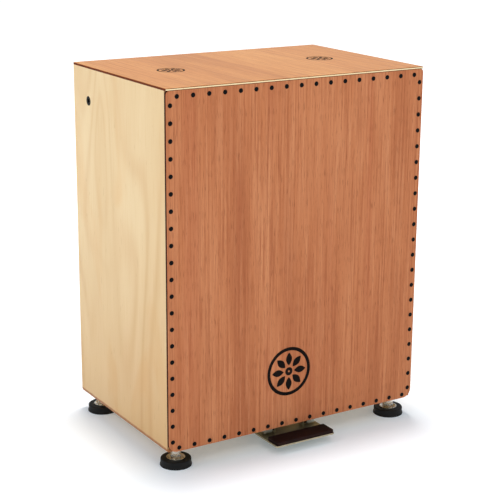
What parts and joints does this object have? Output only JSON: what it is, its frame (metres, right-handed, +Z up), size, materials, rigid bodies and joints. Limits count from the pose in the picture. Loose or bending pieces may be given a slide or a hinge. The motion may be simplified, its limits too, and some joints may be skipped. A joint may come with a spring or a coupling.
{
  "type": "cajon",
  "caption": "Box drum with a thin wooden front plate, rubber screw feet and a foot pedal that swings snare wires against the back of the plate.",
  "frame": {"origin": "on the floor, under the middle of the whole object's box, pedal included", "axes": "+Z up, +Y from the struck front plate to the back, +X to the right seen from the front"},
  "size_m": [0.398, 0.2936, 0.508],
  "materials": {
    "seat_veneer": "satin lacquered orange-brown veneer",
    "front_veneer": "satin lacquered red-brown striped veneer",
    "side_birch": "satin lacquered pale birch plywood",
    "back_birch": "satin lacquered birch plywood",
    "pine": "planed, unfinished",
    "black_screw": "black phosphate",
    "black_nylon": "matt black",
    "bright_steel": "bright drawn steel",
    "zinc_casting": "bright zinc",
    "pedal_steel": "satin nickel",
    "pedal_pad": "very dark brown, matt",
    "spring_steel": "bright spring wire",
    "arm_steel": "black powder coat",
    "aluminium_bar": "mill finish",
    "brass_bar": "dull brass",
    "foot_rubber": "matt black moulded rubber",
    "chrome": "polished"
  },
  "bodies": {
    "box": {"bottom_board": "side_birch", "glue_blocks": "pine", "guide_rail": "pine", "left_side": "side_birch", "pedal_spring": "spring_steel", "pin_clips": "bright_steel", "pivot_block_left": "zinc_casting", "pivot_block_right": "zinc_casting", "pivot_block_screws": "black_screw", "pivot_pin": "bright_steel", "pivot_washers": "black_nylon", "rear_batten_bottom": "pine", "rear_batten_left": "pine", "rear_batten_right": "pine", "rear_batten_top": "pine", "rear_panel": "back_birch", "rear_screws": "black_screw", "right_side": "side_birch", "rod_guide_lower": "black_nylon", "rod_guide_upper": "black_nylon", "shaft_bush_left": "black_nylon", "shaft_bush_right": "black_nylon", "tapa": "front_veneer", "tapa_screws": "black_screw", "tee_nuts": "bright_steel", "top_board": "side_birch", "top_skin": "seat_veneer"},
    "pedal": {"pedal_plate": "pedal_steel", "pedal_pad": "pedal_pad", "pad_rivets": "bright_steel"},
    "rod": {"push_rod": "bright_steel", "rod_tip": "black_nylon", "rod_cap": "black_nylon"},
    "snare_frame": {"snare_shaft": "bright_steel", "snare_arm_left": "arm_steel", "snare_arm_right": "arm_steel", "hub_set_screws": "black_screw", "lift_bar": "bright_steel", "snare_crossbar": "aluminium_bar", "crossbar_bolts": "bright_steel", "snare_bar_left": "brass_bar", "snare_bar_right": "brass_bar", "snare_bar_screws": "black_screw", "snare_wires_left": "spring_steel", "snare_wires_right": "spring_steel"},
    "foot_front_left": {"foot_rubber_front_left": "foot_rubber", "foot_cup_front_left": "chrome"},
    "foot_stud_front_left": {"foot_screw_front_left": "chrome"},
    "foot_front_right": {"foot_rubber_front_right": "foot_rubber", "foot_cup_front_right": "chrome"},
    "foot_stud_front_right": {"foot_screw_front_right": "chrome"},
    "foot_rear_left": {"foot_rubber_rear_left": "foot_rubber", "foot_cup_rear_left": "chrome"},
    "foot_stud_rear_left": {"foot_screw_rear_left": "chrome"},
    "foot_rear_right": {"foot_rubber_rear_right": "foot_rubber", "foot_cup_rear_right": "chrome"},
    "foot_stud_rear_right": {"foot_screw_rear_right": "chrome"}
  },
  "joints": [
    {"name": "pedal_pivot", "type": "hinge", "parent": "box", "child": "pedal", "pos_m": [0, -0.0993, 0.02], "axis": [1, 0, 0], "range_deg": [0, 9], "stiffness_Nm_per_rad": 1.5, "springref_deg": -11.46, "deforming": ["pedal_spring"]},
    {"name": "rod_lift", "type": "slide", "parent": "box", "child": "rod", "axis": [0, 0, 1], "range_m": [0, 0.00786]},
    {"name": "snare_swing", "type": "hinge", "parent": "box", "child": "snare_frame", "pos_m": [0, 0.0992, 0.461], "axis": [-1, 0, 0], "range_deg": [0, 3.04]},
    {"name": "foot_height_front_left", "type": "slide", "parent": "box", "child": "foot_front_left", "axis": [0, 0, -1], "range_m": [0, 0.01]},
    {"name": "foot_turn_front_left", "type": "hinge", "parent": "foot_front_left", "child": "foot_stud_front_left", "pos_m": [-0.1765, -0.0983, 0], "axis": [0, 0, -1], "range_deg": [0, 2881]},
    {"name": "foot_height_front_right", "type": "slide", "parent": "box", "child": "foot_front_right", "axis": [0, 0, -1], "range_m": [0, 0.01]},
    {"name": "foot_turn_front_right", "type": "hinge", "parent": "foot_front_right", "child": "foot_stud_front_right", "pos_m": [0.1765, -0.0983, 0], "axis": [0, 0, -1], "range_deg": [0, 2881]},
    {"name": "foot_height_rear_left", "type": "slide", "parent": "box", "child": "foot_rear_left", "axis": [0, 0, -1], "range_m": [0, 0.01]},
    {"name": "foot_turn_rear_left", "type": "hinge", "parent": "foot_rear_left", "child": "foot_stud_rear_left", "pos_m": [-0.1765, 0.1237, 0], "axis": [0, 0, -1], "range_deg": [0, 2881]},
    {"name": "foot_height_rear_right", "type": "slide", "parent": "box", "child": "foot_rear_right", "axis": [0, 0, -1], "range_m": [0, 0.01]},
    {"name": "foot_turn_rear_right", "type": "hinge", "parent": "foot_rear_right", "child": "foot_stud_rear_right", "pos_m": [0.1765, 0.1237, 0], "axis": [0, 0, -1], "range_deg": [0, 2881]}
  ],
  "couplings": [
    {"joint": "rod_lift", "follows": "pedal_pivot", "m_per_rad": 0.05},
    {"joint": "snare_swing", "follows": "pedal_pivot", "ratio": 0.337},
    {"joint": "foot_turn_front_left", "follows": "foot_height_front_left", "rad_per_m": 5026.5},
    {"joint": "foot_turn_front_right", "follows": "foot_height_front_right", "rad_per_m": 5026.5},
    {"joint": "foot_turn_rear_left", "follows": "foot_height_rear_left", "rad_per_m": 5026.5},
    {"joint": "foot_turn_rear_right", "follows": "foot_height_rear_right", "rad_per_m": 5026.5}
  ]
}
